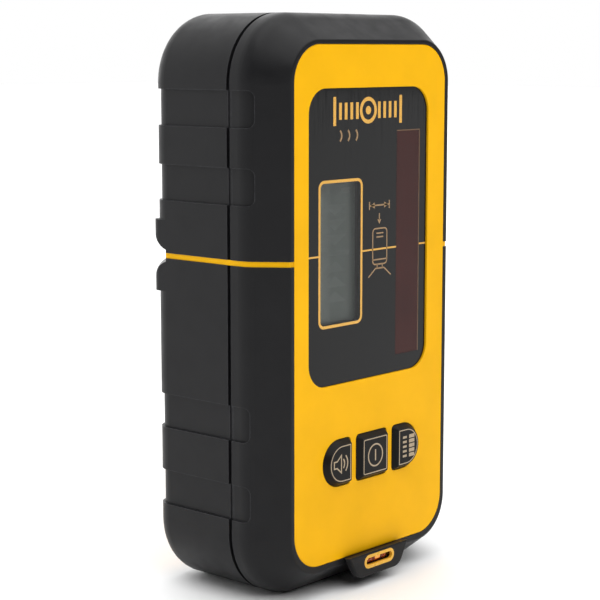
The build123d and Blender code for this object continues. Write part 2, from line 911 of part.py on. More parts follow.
def door_foam():
    half = bay_half - foam_margin
    top = hinge_z - door_shoulder - foam_margin
    pad = box_sketch(-half, half, bay_foot + foam_margin, top, foam_corner)
    return slab(pad, case_depth - door_thick - foam_thick, case_depth - door_thick)


def door_hinge_pin():
    length = 2 * (bay_half + hinge_pin_bite - hinge_pin_spare)
    return bar(hinge_pin_radius, length, hinge_depth, hinge_z)


# ---------------------------------------------------------------- buzzer
def buzzer():
    back = case_depth - inner_skin - buzzer_pad
    return slab(disc(0, buzzer_z, buzzer_radius), back - buzzer_thick, back)


def buzzer_gasket():
    ring = disc(0, buzzer_z, buzzer_radius - snug) - disc(0, buzzer_z, buzzer_radius - buzzer_pad_wide)
    back = case_depth - inner_skin
    return slab(ring, back - buzzer_pad, back)


def buzzer_leads():
    """Two short leads from the buzzer forwards to the board, with a small step up."""
    start_y = front_y + case_depth - inner_skin - buzzer_pad - buzzer_thick
    end_y = front_y + board_back
    middle_y = (start_y + end_y) / 2
    step, upper = buzzer_lead_step, buzzer_z + buzzer_lead_step
    leads = []
    for side in sides:
        x = side * buzzer_lead_spacing / 2
        points = [
            (x, start_y, buzzer_z),
            (x, middle_y + step / 2, buzzer_z),
            (x, middle_y - step / 2, upper),
            (x, end_y, upper),
        ]
        path = FilletPolyline(*points, radius=buzzer_lead_bend)
        leads.append(sweep(Plane(points[0], z_dir=(0, -1, 0)) * Circle(lead_radius), path))
    return Part() + leads


# ---------------------------------------------------------------- write each piece
pieces = {
    "front_housing": front_housing(),
    "rear_housing": rear_housing(),
    "front_grip_upper": grip(True, True),
    "front_grip_lower": grip(True, False),
    "rear_grip_upper": grip(False, True),
    "rear_grip_lower": grip(False, False),
    "case_gasket": case_gasket(),
    "window_bezel": window_bezel(),
    "window_adhesive": window_adhesive(),
    "lcd_lens": lcd_lens(),
    "sensor_filter": sensor_filter(),
    "lcd_frame": lcd_frame(),
    "lcd_glass": lcd_glass(),
    "lcd_reflector": lcd_reflector(),
    "lcd_connector": lcd_connector(),
    "sensor_frame": sensor_frame(),
    "sensor_board": sensor_board(),
    "photodiodes": photodiodes(),
    "main_board": main_board(),
    "board_chips": board_chips(),
    "board_capacitors": board_capacitors(),
    "key_switches": key_switches(),
    "keypad_seal": keypad_seal(),
    "volume_key": key(-1),
    "power_key": key(0),
    "accuracy_key": key(1),
    "vial_housing": vial_housing(),
    "vial_bezel": vial_bezel(),
    "vial_tube": vial_tube(),
    "vial_liquid": vial_liquid(),
    "vial_rings": vial_rings(),
    "buzzer": buzzer(),
    "buzzer_gasket": buzzer_gasket(),
    "buzzer_leads": buzzer_leads(),
    "battery": battery(),
    "battery_snap": battery_snap(),
    "battery_lead_red": battery_lead(-1),
    "battery_lead_black": battery_lead(1),
    "battery_door": battery_door(),
    "door_foam": door_foam(),
    "door_hinge_pin": door_hinge_pin(),
    "threaded_insert": threaded_insert(),
    "case_screws": case_screws(),
    "board_screws": board_screws(),
}

os.makedirs("parts", exist_ok=True)
for name, piece in pieces.items():
    export_step(piece, f"parts/{name}.step")
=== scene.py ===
import json
from math import atan2, cos, pi, radians, sin, tau

import bmesh
import bpy
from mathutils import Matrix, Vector


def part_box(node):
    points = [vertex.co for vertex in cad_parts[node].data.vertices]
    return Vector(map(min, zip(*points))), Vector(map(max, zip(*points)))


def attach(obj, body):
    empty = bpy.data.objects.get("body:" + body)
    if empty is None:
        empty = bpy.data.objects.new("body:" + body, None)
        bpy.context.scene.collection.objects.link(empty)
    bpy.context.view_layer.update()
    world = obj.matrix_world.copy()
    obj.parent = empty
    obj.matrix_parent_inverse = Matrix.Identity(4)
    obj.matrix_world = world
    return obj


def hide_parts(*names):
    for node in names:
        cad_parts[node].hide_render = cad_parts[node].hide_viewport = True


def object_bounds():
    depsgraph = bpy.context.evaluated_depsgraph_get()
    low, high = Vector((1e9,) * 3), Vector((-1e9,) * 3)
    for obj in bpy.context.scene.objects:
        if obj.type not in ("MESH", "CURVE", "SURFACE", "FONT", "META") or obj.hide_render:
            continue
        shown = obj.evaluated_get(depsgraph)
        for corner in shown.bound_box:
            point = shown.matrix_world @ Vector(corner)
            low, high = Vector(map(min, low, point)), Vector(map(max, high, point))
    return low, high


# Looks of a handheld laser line detector, in metres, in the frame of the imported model:
# +Z is up and the display faces -Y.
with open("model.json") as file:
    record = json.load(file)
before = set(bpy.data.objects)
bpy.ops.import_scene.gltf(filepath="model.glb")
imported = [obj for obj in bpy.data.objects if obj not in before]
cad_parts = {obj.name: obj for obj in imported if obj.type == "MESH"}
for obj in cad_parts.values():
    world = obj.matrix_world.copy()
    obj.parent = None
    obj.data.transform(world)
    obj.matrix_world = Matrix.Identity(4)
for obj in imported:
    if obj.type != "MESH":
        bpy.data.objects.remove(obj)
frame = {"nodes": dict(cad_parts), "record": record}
nodes = frame["nodes"]
cad_box = [list(corner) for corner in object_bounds()]
mm = 0.001

# ---------------------------------------------------------------- sizes and places
ink_proud = 0.02 * mm         # how far print stands on its surface, and how deep it starts
key_flange = 0.9 * mm         # a key's flange past its cap, on each side
key_bevel = 1.2 * mm          # a key's slanted sides
key_frame_inset = 0.5 * mm    # face's edge in to the printed line
key_symbol_line = 0.45 * mm
lens_outline = 0.85 * mm      # printed line round the display
lens_outline_corner = 1.9 * mm
reference_rise = 1.1 * mm     # reference groove up to the printed reference line
mark_line = 0.42 * mm         # lines of the clamp pictogram
thread_pitch = 1.27 * mm      # 1/4 inch, 20 threads per inch
thread_minor = 2.55 * mm      # radii of the thread
thread_major = 3.15 * mm
knurl_depth = 0.12 * mm
terminals_tall = 2.9 * mm     # the battery's terminals above its jacket
terminals_apart = 12.7 * mm
polarity_drop = 9 * mm        # top of the terminals down to the plus and minus signs
rim_half = 0.45 * mm          # half the height of a rolled rim
rim_corner = 2.0 * mm
bubble_long = 4.2 * mm
bubble_drift = 0.8 * mm       # middle of the tube to the middle of the bubble
bubble_thick = 0.9            # the bubble's radius, as a share of the spirit's
bubble_forward, bubble_up = 0.14, 0.08   # shares of the spirit's radius

camera_azimuth, camera_elevation = -48.25, 8.31
camera_distance = 477.3 * mm
camera_lens = 102.0           # for a 36 mm sensor
aim_left = 32.04 * mm         # middle of the panel to the point that the camera looks at
aim_rise = 4.48 * mm          # half the case's height up to that point
sun_azimuth, sun_elevation = 0, 68
sun_power = 3.05
sun_spread = 80               # degrees across
dark_azimuth = -10            # where the room is darkest
room_bright, room_dark = 2.0, 0.02
room_bright_from, room_dark_from = -1.0, 0.3   # how far a way into the room points at its dark side

case_height = cad_box[1][2]
window_low, window_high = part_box("window_bezel")
lens_low, lens_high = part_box("lcd_lens")
sensor_low, sensor_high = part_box("sensor_filter")
insert_low, insert_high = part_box("threaded_insert")
line_z = (insert_low.z + insert_high.z) / 2


# ---------------------------------------------------------------- material building
class Look:
    """One material made of nodes. Its methods add nodes and return the socket they end in."""

    def __init__(self, name, colour, roughness, **values):
        self.material = bpy.data.materials.new(name)
        self.material.use_nodes = True
        self.tree = self.material.node_tree
        self.shader = self.tree.nodes["Principled BSDF"]
        self.set("Base Color", (*colour, 1))
        self.set("Roughness", roughness)
        for key, value in values.items():
            self.set(key.replace("_", " "), value)
        self.place = self.add("ShaderNodeTexCoord").outputs["Object"]

    def set(self, socket, value):
        """Joins a socket of the shader to another, or gives it a value."""
        if isinstance(value, bpy.types.NodeSocket):
            self.tree.links.new(value, self.shader.inputs[socket])
        else:
            self.shader.inputs[socket].default_value = value

    def add(self, kind, settings=(), **sockets):
        """A node with its settings, and its inputs joined to sockets or set to values."""
        made = self.tree.nodes.new(kind)
        for key, value in dict(settings).items():
            setattr(made, key, value)
        for key, value in sockets.items():
            target = made.inputs[key.replace("_", " ")]
            if isinstance(value, bpy.types.NodeSocket):
                self.tree.links.new(value, target)
            else:
                target.default_value = value
        return made

    def stretched(self, stretch):
        """Object coordinates scaled along each axis."""
        return self.add("ShaderNodeMapping", Vector=self.place, Scale=stretch).outputs["Vector"]

    def noise(self, feature, detail=3.0, stretch=(1, 1, 1)):
        """Noise from 0 to 1 with features of about that size, given in metres."""
        vector = self.stretched(stretch) if stretch != (1, 1, 1) else self.place
        made = self.add("ShaderNodeTexNoise", Vector=vector, Scale=1 / feature, Detail=detail)
        return made.outputs["Fac"]

    def cells(self, feature):
        """Distance to the middle of the nearest cell, about 0 to 1."""
        made = self.add("ShaderNodeTexVoronoi", Vector=self.place, Scale=1 / feature)
        return made.outputs["Distance"]

    def spread(self, value, low, high, to_low=0.0, to_high=1.0):
        """The value mapped from one range to another, and held at its ends."""
        made = self.add("ShaderNodeMapRange", Value=value)
        for socket, number in zip(("From Min", "From Max", "To Min", "To Max"), (low, high, to_low, to_high)):
            made.inputs[socket].default_value = number
        return made.outputs["Result"]

    def combine(self, operation, first, second):
        """Two values, or sockets, put through a sum."""
        made = self.add("ShaderNodeMath", {"operation": operation})
        for socket, value in zip(made.inputs, (first, second)):
            if isinstance(value, bpy.types.NodeSocket):
                self.tree.links.new(value, socket)
            else:
                socket.default_value = value
        return made.outputs["Value"]

    def blend(self, share, first, second):
        """A colour between two others. Each is a colour or a socket."""
        made = self.add("ShaderNodeMix", {"data_type": "RGBA"})
        self.tree.links.new(share, made.inputs["Factor"])
        for socket, value in ((made.inputs["A"], first), (made.inputs["B"], second)):
            named = [s for s in made.inputs if s.name == socket.name and s.type == "RGBA"][0]
            if isinstance(value, bpy.types.NodeSocket):
                self.tree.links.new(value, named)
            else:
                named.default_value = (*value, 1)
        return [s for s in made.outputs if s.type == "RGBA"][0]

    def bump(self, height, distance, under=None):
        """A bumpy normal, on top of another one if it is given."""
        made = self.add("ShaderNodeBump", Height=height, Distance=distance)
        if under is not None:
            self.tree.links.new(under, made.inputs["Normal"])
        return made.outputs["Normal"]

    def edges(self, radius):
        """1 on edges sharper than the radius, 0 on flat faces, broken up by fine noise."""
        bevel = self.add("ShaderNodeBevel", {"samples": 4})
        bevel.inputs["Radius"].default_value = radius
        flat = self.add("ShaderNodeNewGeometry").outputs["Normal"]
        dot = self.add("ShaderNodeVectorMath", {"operation": "DOT_PRODUCT"})
        self.tree.links.new(bevel.outputs["Normal"], dot.inputs[0])
        self.tree.links.new(flat, dot.inputs[1])
        sharp = self.spread(dot.outputs["Value"], 0.995, 0.88)
        return self.combine("MULTIPLY", sharp, self.spread(self.noise(0.9 * mm), 0.35, 0.65, 0.35, 1.0))

    def height(self, z, soft=0.05 * mm):
        """0 below that height, 1 above it."""
        parts = self.add("ShaderNodeSeparateXYZ", Vector=self.place)
        return self.spread(parts.outputs["Z"], z - soft, z + soft)


def shade(colour, factor):
    """The colour, that much lighter or darker."""
    return tuple(min(channel * factor, 1.0) for channel in colour)


def moulded(name, colour, roughness, grain, depth, edge_wear_and_highlight=1.5, **values):
    """Moulded plastic or rubber: fine grain, uneven gloss, faint clouds of colour and paler edges, partly
    edge wear and partly painted highlight.
    """
    look = Look(name, colour, roughness, **values)
    clouds = look.spread(look.noise(22 * mm, 4.0), 0.3, 0.7)
    base = look.blend(clouds, shade(colour, 0.94), shade(colour, 1.05))
    # Edges paler by that factor: edge wear, and where the factor is large, as on the black rubber, a painted
    # highlight.
    look.set("Base Color", look.blend(look.edges(0.35 * mm), base, shade(colour, edge_wear_and_highlight)))
    gloss = look.spread(look.noise(5 * mm, 5.0), 0.3, 0.7, roughness - 0.06, roughness + 0.07)
    look.set("Roughness", gloss)
    waves = look.bump(look.noise(7 * mm, 2.0), 0.02 * mm)
    look.set("Normal", look.bump(look.noise(grain, 2.0), depth, waves))
    return look


# ---------------------------------------------------------------- the record's material slots
def yellow_housing():
    return moulded("yellow_housing", (0.93, 0.48, 0.004), 0.36, 0.25 * mm, 0.006 * mm, 1.1,
                   Specular_IOR_Level=0.07)


def black_rubber():
    # The edge factor of 5 paints a highlight along the rubber's edges.
    return moulded("black_rubber", (0.01, 0.01, 0.011), 0.4, 0.3 * mm, 0.02 * mm, 5.0,
                   Specular_IOR_Level=0.17)


def gasket_rubber():
    return moulded("gasket_rubber", (0.012, 0.012, 0.012), 0.7, 0.4 * mm, 0.01 * mm)


def window_black():
    """Clear acrylic printed black on its back: deep, glossy, with hairline scratches."""
    look = Look("window_black", (0.0075, 0.0078, 0.008), 0.09, Specular_IOR_Level=0.18)
    tint = look.spread(look.noise(30 * mm), 0.3, 0.7)
    look.set("Base Color", look.blend(tint, (0.0068, 0.0072, 0.0075), (0.0082, 0.0082, 0.0085)))
    hairlines = look.noise(0.5 * mm, 2.0, (1, 1, 0.04))
    look.set("Roughness", look.spread(hairlines, 0.45, 0.75, 0.07, 0.17))
    look.set("Normal", look.bump(look.noise(9 * mm, 1.0), 0.012 * mm))
    return look


def pane(name, colour, gloss):
    """A clear pane that doesn't bend light: see-through, with a Fresnel reflection and faint smears."""
    look = Look(name, colour, gloss)
    clear = look.add("ShaderNodeBsdfTransparent", Color=(*colour, 1)).outputs["BSDF"]
    smears = look.spread(look.noise(6 * mm, 4.0, (1, 1, 0.4)), 0.4, 0.8, gloss, gloss + 0.08)
    mirror = look.add("ShaderNodeBsdfGlossy", Color=(1, 1, 1, 1), Roughness=smears).outputs["BSDF"]
    fresnel = look.add("ShaderNodeFresnel", IOR=1.3).outputs["Fac"]
    outer = look.combine("SUBTRACT", 1.0, look.add("ShaderNodeNewGeometry").outputs["Backfacing"])
    mixed = look.add("ShaderNodeMixShader", Fac=look.combine("MULTIPLY", fresnel, outer))
    look.tree.links.new(clear, mixed.inputs[1])
    look.tree.links.new(mirror, mixed.inputs[2])
    look.tree.links.new(mixed.outputs["Shader"], look.tree.nodes["Material Output"].inputs["Surface"])
    return look


def clear_lens():
    return pane("clear_lens", (0.93, 0.95, 0.94), 0.02)


def vial_glass():
    return pane("vial_glass", (0.97, 0.93, 0.86), 0.01)


def red_filter():
    """Dark red acrylic that hides nearly all of the sensor chips behind it."""
    look = Look("red_filter", (0.045, 0.012, 0.012), 0.1, Alpha=0.92, Specular_IOR_Level=0.16)
    depth = look.spread(look.noise(14 * mm), 0.3, 0.7)
    look.set("Base Color", look.blend(depth, (0.038, 0.009, 0.008), (0.05, 0.012, 0.01)))
    look.set("Roughness", look.spread(look.noise(1.2 * mm, 4.0, (1, 1, 0.1)), 0.4, 0.7, 0.07, 0.15))
    return look


def display_glass():
    """Reflective liquid crystal glass: grey-green, banded down its length, with painted light at its left and
    painted shade over the rest.
    """
    look = Look("display_glass", (0.085, 0.09, 0.085), 0.28, Specular_IOR_Level=0.3)
    bands = look.spread(look.noise(2.4 * mm, 1.0, (1, 1, 0.02)), 0.3, 0.7)
    across = look.add("ShaderNodeSeparateXYZ", Vector=look.place).outputs["X"]
    # Painted light and shade: pale for 2.5 mm in from the display's left edge, turning darker by 7 mm in, for
    # the light at its left and the shade of its recess.
    painted_lit_until, painted_shade_from = lens_low.x + 2.5 * mm, lens_low.x + 7 * mm
    darker = look.spread(across, painted_lit_until, painted_shade_from)
    pale = look.blend(bands, (0.094, 0.099, 0.094), (0.116, 0.12, 0.117))
    dark = look.blend(bands, (0.052, 0.057, 0.053), (0.068, 0.072, 0.069))
    look.set("Base Color", look.blend(darker, pale, dark))
    look.set("Roughness", look.spread(look.noise(0.3 * mm), 0.3, 0.7, 0.22, 0.34))
    look.set("Normal", look.bump(look.noise(0.2 * mm), 0.0004 * mm))
    return look


def black_plastic():
    return moulded("black_plastic", (0.011, 0.011, 0.012), 0.45, 0.3 * mm, 0.014 * mm, 1.8,
                   Specular_IOR_Level=0.16)


def white_plastic():
    return moulded("white_plastic", (0.74, 0.74, 0.7), 0.5, 0.5 * mm, 0.006 * mm, 1.05)


def key_black():
    return moulded("key_black", (0.0075, 0.007, 0.0065), 0.4, 0.22 * mm, 0.01 * mm, 2.0,
                   Specular_IOR_Level=0.12)


def vial_yellow():
    return moulded("vial_yellow", (0.86, 0.46, 0.03), 0.3, 0.2 * mm, 0.004 * mm, 1.1)


def circuit_green():
    """Solder mask over copper tracks, with bare pads."""
    look = Look("circuit_green", (0.01, 0.1, 0.035), 0.35, Coat_Weight=0.3, Coat_Roughness=0.15)
    track_pitch, pad_pitch = 9 * mm, 3.2 * mm
    turned = look.add("ShaderNodeMapping", Vector=look.place, Rotation=(pi / 2, 0, 0)).outputs["Vector"]
    tracks = look.add("ShaderNodeTexBrick", Vector=turned)
    for socket, value in (("Scale", 1 / track_pitch), ("Mortar Size", 0.014), ("Mortar Smooth", 0.1)):
        tracks.inputs[socket].default_value = value
    lines = tracks.outputs["Fac"]
    masked = look.blend(lines, (0.008, 0.09, 0.03), (0.03, 0.2, 0.07))
    pads = look.spread(look.cells(pad_pitch), 0.16, 0.14)
    look.set("Base Color", look.blend(pads, masked, (0.62, 0.55, 0.38)))
    look.set("Metallic", pads)
    look.set("Normal", look.bump(lines, 0.03 * mm))
    return look


def silicon():
    """Moulded chip packages: dark epoxy with a fine sandy grain."""
    return moulded("silicon", (0.02, 0.02, 0.024), 0.4, 0.15 * mm, 0.01 * mm, 1.6)


def metal(name, colour, roughness, stretch):
    """Machined metal: fine drawn lines, dull clouds and brighter edges."""
    look = Look(name, colour, roughness, Metallic=1.0)
    dull = look.spread(look.noise(1.6 * mm, 5.0), 0.35, 0.7)
    base = look.blend(dull, shade(colour, 1.05), shade(colour, 0.68))
    look.set("Base Color", look.blend(look.edges(0.15 * mm), base, shade(colour, 1.25)))
    lines = look.noise(0.12 * mm, 3.0, stretch)
    look.set("Roughness", look.spread(lines, 0.3, 0.7, roughness - 0.08, roughness + 0.12))
    look.set("Normal", look.bump(lines, 0.004 * mm))
    return look


def steel():
    return metal("steel", (0.52, 0.52, 0.53), 0.32, (0.08, 1, 1))


def brass():
    return metal("brass", (0.74, 0.5, 0.19), 0.3, (1, 0.15, 1))


def foam():
    """Closed cell foam: dull, with open pores."""
    look = Look("foam", (0.028, 0.028, 0.03), 0.95, Sheen_Weight=0.15)
    pores = look.spread(look.cells(0.55 * mm), 0.15, 0.6)
    look.set("Base Color", look.blend(pores, (0.012, 0.012, 0.012), (0.038, 0.038, 0.04)))
    look.set("Normal", look.bump(pores, 0.15 * mm, look.bump(look.noise(2 * mm), 0.2 * mm)))
    return look


def battery_case():
    """A printed steel jacket: slate blue, with a pale panel above and a silver line between."""
    low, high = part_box("battery")
    jacket_top = high.z - terminals_tall
    slate, silver = (0.03, 0.075, 0.14), (0.6, 0.6, 0.6)
    slate_share, line, rim = 0.68, 0.9 * mm, 0.2 * mm
    band = low.z + (jacket_top - low.z) * slate_share
    look = Look("battery_case", (0.02, 0.02, 0.02), 0.3, Coat_Weight=0.4, Coat_Roughness=0.12)
    brushed = look.spread(look.noise(0.3 * mm, 3.0, (1, 1, 0.05)), 0.3, 0.7)
    pale = look.blend(brushed, (0.42, 0.46, 0.5), (0.5, 0.54, 0.58))
    lower = look.blend(look.height(band), slate, silver)
    jacket = look.blend(look.height(band + line), lower, pale)
    whole = look.blend(look.height(jacket_top - rim), jacket, silver)
    look.set("Base Color", look.blend(look.edges(0.4 * mm), whole, silver))
    look.set("Roughness", look.spread(look.noise(2.5 * mm, 4.0), 0.3, 0.7, 0.22, 0.38))
    look.set("Normal", look.bump(look.noise(8 * mm, 2.0), 0.05 * mm))
    return look


def wire(name, colour):
    """Extruded PVC with faint lengthwise gloss lines."""
    look = Look(name, colour, 0.35)
    clouds = look.spread(look.noise(3 * mm, 3.0), 0.3, 0.7)
    look.set("Base Color", look.blend(clouds, shade(colour, 0.85), shade(colour, 1.15)))
    look.set("Roughness", look.spread(look.noise(0.4 * mm, 3.0), 0.3, 0.7, 0.28, 0.45))
    look.set("Normal", look.bump(look.noise(0.5 * mm, 2.0), 0.01 * mm))
    return look


def wire_red():
    return wire("wire_red", (0.55, 0.012, 0.012))


def wire_black():
    return wire("wire_black", (0.014, 0.014, 0.015))


def vial_amber():
    """Spirit in a vial, dark red amber where it is deep."""
    look = Look("vial_amber", (0.5, 0.06, 0.006), 0.05, Transmission_Weight=0.2, IOR=1.36)
    depth = look.spread(look.noise(3 * mm, 1.0), 0.3, 0.7)
    look.set("Base Color", look.blend(depth, (0.4, 0.03, 0.004), (0.62, 0.09, 0.008)))
    return look


makers = {
    maker.__name__: maker
    for maker in (
        yellow_housing, black_rubber, gasket_rubber, window_black, clear_lens, red_filter, display_glass,
        black_plastic, white_plastic, circuit_green, silicon, key_black, vial_yellow, vial_glass, vial_amber,
        steel, brass, foam, battery_case, wire_red, wire_black,
    )
}
looks = {slot["slot"]: makers[slot["slot"]]() for slot in frame["record"]["materials"]}


# ---------------------------------------------------------------- materials of print and bubble
def ink(name, colour):
    """Screen print: satin, a little uneven in cover."""
    look = Look(name, colour, 0.42)
    cover = look.spread(look.noise(0.35 * mm, 3.0), 0.35, 0.65)
    look.set("Base Color", look.blend(cover, shade(colour, 0.86), shade(colour, 1.08)))
    look.set("Roughness", look.spread(look.noise(0.5 * mm), 0.3, 0.7, 0.36, 0.5))
    look.set("Normal", look.bump(look.noise(0.2 * mm), 0.003 * mm))
    return look


def bubble_painted_glow_look():
    """A pale bubble with a painted glow: it gives off a little light of its own, though it is no lamp."""
    # The emission paints a glow on the bubble.
    look = Look("bubble", (0.9, 0.42, 0.05), 0.06, Coat_Weight=0.3, Coat_Roughness=0.02,
                Emission_Color=(0.9, 0.36, 0.05, 1), Emission_Strength=0.5)
    rim = look.spread(look.noise(1.5 * mm, 1.0), 0.3, 0.7)
    look.set("Base Color", look.blend(rim, (0.9, 0.42, 0.08), (0.96, 0.56, 0.14)))
    return look


print_yellow = ink("print_yellow", (0.8, 0.43, 0.07))
print_tan = ink("print_tan", (0.34, 0.21, 0.1))
print_key = ink("print_key", (0.44, 0.34, 0.22))
# A dull brown for the painted highlight by the sensor, laid on like ink.
painted_highlight_ink = ink("painted_highlight_ink", (0.13, 0.07, 0.03))
print_grey = ink("print_grey", (0.55, 0.55, 0.55))
segment_grey = ink("segment_grey", (0.06, 0.064, 0.061))


def paint(thing, look):
    """Gives a mesh one material, on its own slots."""
    if not thing.material_slots:
        thing.data.materials.append(None)
    for slot in thing.material_slots:
        slot.link = "OBJECT"
        slot.material = look.material


for part in frame["record"]["subparts"]:
    paint(nodes[part["node"]], looks[part["material_slot"]])


# ---------------------------------------------------------------- flat print
def arc(centre, radius, start, end, steps=14):
    """Points round a centre, with angles in degrees from +X towards +Z."""
    angles = [radians(start + (end - start) * step / steps) for step in range(steps + 1)]
    return [(centre[0] + radius * cos(a), centre[1] + radius * sin(a)) for a in angles]


def ring(centre, radius, steps=40):
    return arc(centre, radius, 0, 360, steps)[:-1]


def rounded_box(x0, x1, z0, z1, corner):
    """A rectangle with round corners, anticlockwise."""
    places = ((x1 - corner, z1 - corner), (x0 + corner, z1 - corner),
              (x0 + corner, z0 + corner), (x1 - corner, z0 + corner))
    points = []
    for turn, centre in enumerate(places):
        points += arc(centre, corner, 90 * turn, 90 * turn + 90, 6)
    return points


def box_points(x0, x1, z0, z1):
    return [(x1, z1), (x0, z1), (x0, z0), (x1, z0)]


def stroke(path, width, closed=False):
    """The two sides of a line of that width along a path, mitred at its corners."""
    count = len(path)
    left, right = [], []
    for step in range(count):
        here = Vector(path[step])
        before = Vector(path[step - 1]) if closed or step > 0 else None
        after = Vector(path[(step + 1) % count]) if closed or step < count - 1 else None
        ways = [(here - before).normalized()] if before else []
        ways += [(after - here).normalized()] if after else []
        normals = [Vector((-way.y, way.x)) for way in ways]
        middle = sum(normals, Vector((0, 0))).normalized()
        reach = middle * width / 2 / max(middle.dot(normals[0]), 0.3)
        left.append(here + reach)
        right.append(here - reach)
    return left, right, closed


def bridge(mesh, near, far):
    """Faces between two closed loops of vertices."""
    count = len(near)
    for k in range(count):
        mesh.faces.new((near[k], near[(k + 1) % count], far[(k + 1) % count], far[k]))


def add_stroke(mesh, sides, front, back):
    """A line as a thin solid between two y places, with ends if it isn't closed."""
    left, right, closed = sides
    rows = [
        [mesh.verts.new((p.x, y, p.y)) for p, y in ((a, front), (b, front), (b, back), (a, back))]
        for a, b in zip(left, right)
    ]
    last = len(rows) if closed else len(rows) - 1
    for step in range(last):
        bridge(mesh, rows[step], rows[(step + 1) % len(rows)])
    if not closed:
        mesh.faces.new(rows[0])
        mesh.faces.new(reversed(rows[-1]))


def add_fill(mesh, outline, front, back):
    """A filled outline as a thin solid between two y places."""
    near = [mesh.verts.new((x, front, z)) for x, z in outline]
    far = [mesh.verts.new((x, back, z)) for x, z in outline]
    mesh.faces.new(near)
    mesh.faces.new(reversed(far))
    for step in range(len(outline)):
        other = (step + 1) % len(outline)
        mesh.faces.new((near[step], far[step], far[other], near[other]))


def new_object(name, mesh):
    """An object made of the mesh, with its faces turned outwards."""
    bmesh.ops.recalc_face_normals(mesh, faces=mesh.faces)
    data = bpy.data.meshes.new(name)
    mesh.to_mesh(data)
    mesh.free()
    made = bpy.data.objects.new(name, data)
    bpy.context.scene.collection.objects.link(made)
    return made


def printed(name, surface, look, body, strokes=(), fills=()):
    """Print on a face at that y: lines and filled outlines, a hair proud of it."""
    mesh = bmesh.new()
    front, back = surface - ink_proud, surface + ink_proud
    for sides in strokes:
        add_stroke(mesh, sides, front, back)
    for outline in fills:
        add_fill(mesh, outline, front, back)
    made = new_object(name, mesh)
    paint(made, look)
    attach(made, body)
    return made


def from_middle(points, x, z):
    """Millimetre points about a place, in metres."""
    return [(x + a * mm, z + b * mm) for a, b in points]


# ---------------------------------------------------------------- print on the window, and a painted highlight by the sensor
def display_outline():
    """A line round the display, with its inner edge on the lens's edge."""
    half = lens_outline / 2
    path = rounded_box(lens_low.x - half, lens_high.x + half, lens_low.z - half, lens_high.z + half,
                       lens_outline_corner)
    printed("display_outline", window_low.y, print_yellow, "case",
            [stroke(path, lens_outline, True)])


def reference_line():
    """The printed part of the reference line, broken at the display and at the sensor."""
    z = line_z + reference_rise
    line, edge_gap = 0.5 * mm, 0.3 * mm
    spans = ((window_low.x + edge_gap, lens_low.x - lens_outline), (lens_high.x + lens_outline, sensor_low.x),
             (sensor_high.x, window_high.x - edge_gap))
    lines = [stroke([(x0, z), (x1, z)], line) for x0, x1 in spans]
    printed("reference_line", window_low.y, print_yellow, "case", lines)


def level_scale():
    """A plain graduated scale with a target ring, along the top of the window."""
    x = (window_low.x + window_high.x) / 2 - 0.5 * mm
    z = window_high.z - 6.5 * mm
    pitch, ends = 2.5, 6
    half_wide, half_tall, half_tall_end = 0.6, 2.4, 4.1
    dot_radius, ring_radius, ring_wide = 1.2 * mm, 3.3 * mm, 1.1 * mm
    fills = [ring((x, z), dot_radius, 20)]
    for step in range(-ends, ends + 1):
        if abs(step) > 1:
            tall = half_tall_end if abs(step) == ends else half_tall
            middle = step * pitch
            fills.append(from_middle(box_points(middle - half_wide, middle + half_wide, -tall, tall), x, z))
    printed("level_scale", window_low.y, print_yellow, "case",
            [stroke(ring((x, z), ring_radius), ring_wide, True)], fills)


def sound_marks():
    """Three sound waves under the scale."""
    first, pitch = window_low.x + 12.9 * mm, 3.5 * mm
    radius, wide = 1.9 * mm, 0.62 * mm
    z = window_high.z - 13.5 * mm
    waves = [stroke(arc((first + pitch * step, z), radius, -52, 52), wide) for step in range(3)]
    printed("sound_marks", window_low.y, print_tan, "case", waves)


def offset_mark():
    """A small dimension sign and an arrow down to the reference line."""
    x, z = lens_high.x + 8.6 * mm, line_z + 14.1 * mm
    lines = [stroke(from_middle(points, x, z), 0.45 * mm) for points in (
        [(-4.4, 0), (4.4, 0)], [(-4.6, -1.2), (-4.6, 1.2)],
        [(4.6, -1.2), (4.6, 1.2)], [(0, -2.4), (0, -4.4)])]
    heads = [from_middle(points, x, z) for points in (
        [(-4.0, 0), (-2.2, 0.9), (-2.2, -0.9)], [(4.0, 0), (2.2, -0.9), (2.2, 0.9)],
        [(-0.9, -4.2), (0.9, -4.2), (0, -5.6)])]
    printed("offset_mark", window_low.y, print_tan, "case", lines, heads)


def clamp_mark():
    """A pictogram: the detector's outline standing in a clamp."""
    x, z = lens_high.x + 8.9 * mm, line_z + 1.6 * mm
    case = from_middle(rounded_box(-3.3, 3.3, -5.0, 5.6, 1.2), x, z)
    lines = [stroke(case, mark_line, True)]
    for points in ([(-1.6, 4.2), (1.6, 4.2)], [(-1.6, 3.1), (1.6, 3.1)], [(-3.3, -3.6), (3.3, -3.6)],
                   [(-5.2, -8.6), (-2.0, -6.2), (2.0, -6.2), (5.2, -8.6)], [(-1.2, -6.2), (-1.2, -5.0)],
                   [(1.2, -6.2), (1.2, -5.0)]):
        lines.append(stroke(from_middle(points, x, z), mark_line))
    printed("clamp_mark", window_low.y, print_tan, "case", lines)


def sensor_painted_highlight():
    """A painted highlight: a dull line along the top and the outer side of the sensor, where the step of its
    recess catches the light.
    """
    out = 0.15 * mm
    x0, x1, z0, z1 = sensor_low.x, sensor_high.x + out, sensor_low.z, sensor_high.z + out
    printed("sensor_painted_highlight", window_low.y, painted_highlight_ink, "case",
            [stroke([(x0, z1), (x1, z1), (x1, z0)], 0.35 * mm)])


